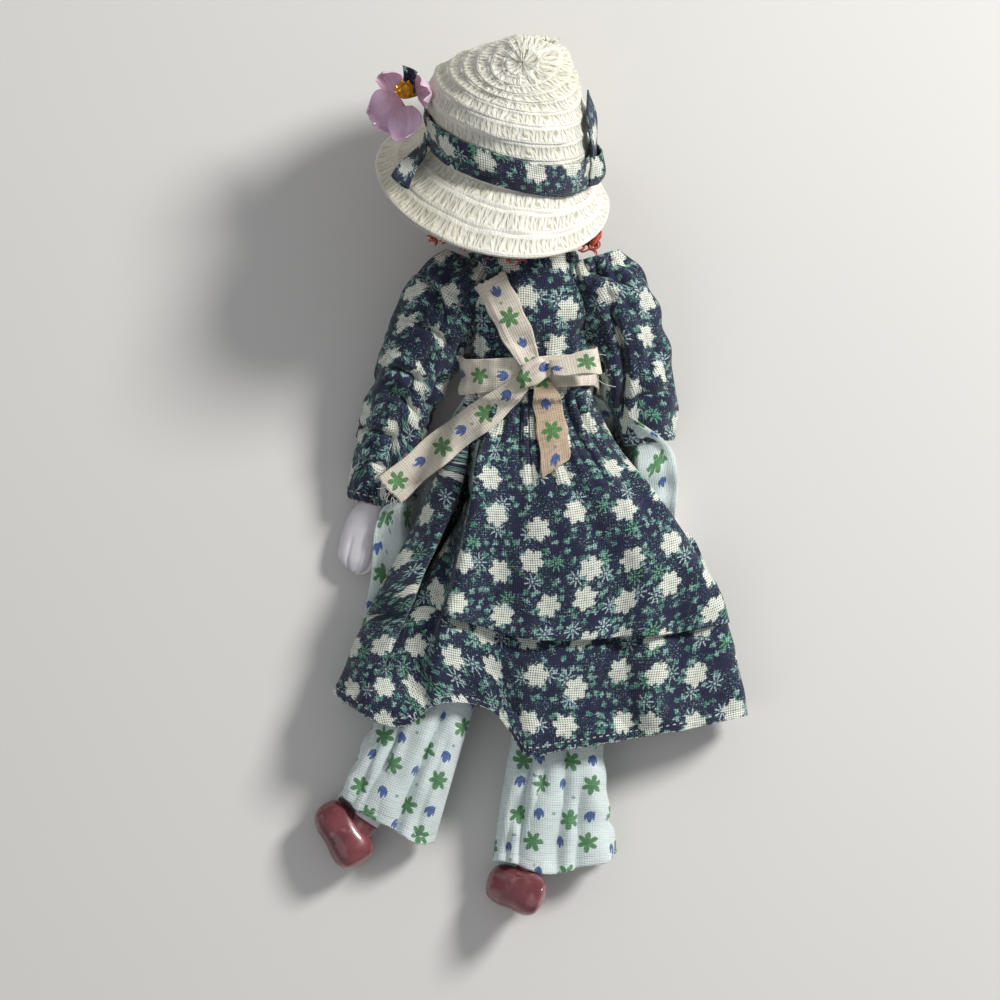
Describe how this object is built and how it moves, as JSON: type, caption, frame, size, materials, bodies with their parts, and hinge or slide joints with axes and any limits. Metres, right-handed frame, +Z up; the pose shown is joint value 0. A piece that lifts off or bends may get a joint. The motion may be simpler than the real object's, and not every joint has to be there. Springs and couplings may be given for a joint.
{
  "type": "miniature doll",
  "caption": "Small prone doll with porcelain head, hands and booted legs on a stuffed cloth body, in a straw hat, printed dress, apron and pantaloons.",
  "frame": {"origin": "on the flat underside of the apron under the middle of the prone doll", "axes": "+Z up away from the surface the doll lies on, +Y towards the head, +X to the right as seen from above"},
  "size_m": [0.0864, 0.1749, 0.0428],
  "materials": {
    "navy_print": "navy cotton with cream blossoms and fine green sprigs, open weave",
    "white_print": "mint white cotton with small green and blue flowers",
    "ribbon_print": "cream cotton strip with small green and blue flowers, raw edges",
    "straw": "sewn straw braid, dry and satin",
    "porcelain": "cool white bisque with a painted doll's face",
    "glazed_boot": "glossy maroon glaze",
    "muslin": "unbleached muslin, stuffed",
    "hair": "orange red curled fibre",
    "lilac_satin": "stiffened lilac satin",
    "gilt": "bright gilt",
    "thread": "waxed cotton thread"
  },
  "bodies": {
    "doll_body": {"torso": "muslin", "shoulder_head": "porcelain", "hair": "hair", "straw_hat": "straw", "hat_band": "navy_print", "hat_band_tail": "navy_print", "hat_band_loop": "navy_print", "flower_petal_1": "lilac_satin", "flower_petal_2": "lilac_satin", "flower_petal_3": "lilac_satin", "flower_petal_4": "lilac_satin", "flower_cup": "gilt", "bodice": "navy_print", "apron_sash": "ribbon_print", "apron": "white_print", "pantaloon_seat": "white_print", "skirt": "navy_print", "skirt_flounce": "navy_print", "tie_knot": "ribbon_print", "tie_up": "ribbon_print", "tie_lower_left": "ribbon_print", "tie_hanging": "ribbon_print", "tie_loop": "ribbon_print"},
    "arm_left": {"upper_arm_left": "muslin", "forearm_left": "porcelain", "arm_lashing_left": "thread", "sleeve_left": "navy_print"},
    "upper_leg_left": {"thigh_left": "muslin", "pantaloon_leg_left": "white_print"},
    "shin_left": {"lower_leg_left": "glazed_boot", "leg_lashing_left": "thread"},
    "arm_right": {"upper_arm_right": "muslin", "forearm_right": "porcelain", "arm_lashing_right": "thread", "sleeve_right": "navy_print"},
    "upper_leg_right": {"thigh_right": "muslin", "pantaloon_leg_right": "white_print"},
    "shin_right": {"lower_leg_right": "glazed_boot", "leg_lashing_right": "thread"}
  },
  "joints": [
    {"name": "shoulder_left", "type": "hinge", "parent": "doll_body", "child": "arm_left", "pos_m": [-0.018, 0.0384, 0.013], "axis": [0, 0, -1], "range_deg": [0, 70], "deforming": ["sleeve_left"]},
    {"name": "hip_left", "type": "hinge", "parent": "doll_body", "child": "upper_leg_left", "pos_m": [-0.0089, -0.01, 0.0084], "axis": [0, 0, -1], "range_deg": [-7, 5]},
    {"name": "knee_left", "type": "hinge", "parent": "upper_leg_left", "child": "shin_left", "pos_m": [-0.02536, -0.05402, 0.0076], "axis": [-0.829, 0.5592, 0], "range_deg": [0, 75], "deforming": ["pantaloon_leg_left"]},
    {"name": "shoulder_right", "type": "hinge", "parent": "doll_body", "child": "arm_right", "pos_m": [0.0138, 0.0384, 0.013], "axis": [0, 0, 1], "range_deg": [0, 75], "deforming": ["sleeve_right"]},
    {"name": "hip_right", "type": "hinge", "parent": "doll_body", "child": "upper_leg_right", "pos_m": [0.0047, -0.01, 0.0084], "axis": [0, 0, 1], "range_deg": [-3, 9]},
    {"name": "knee_right", "type": "hinge", "parent": "upper_leg_right", "child": "shin_right", "pos_m": [0.0029, -0.05697, 0.0076], "axis": [-0.9744, 0.225, 0], "range_deg": [0, 75], "deforming": ["pantaloon_leg_right"]}
  ]
}
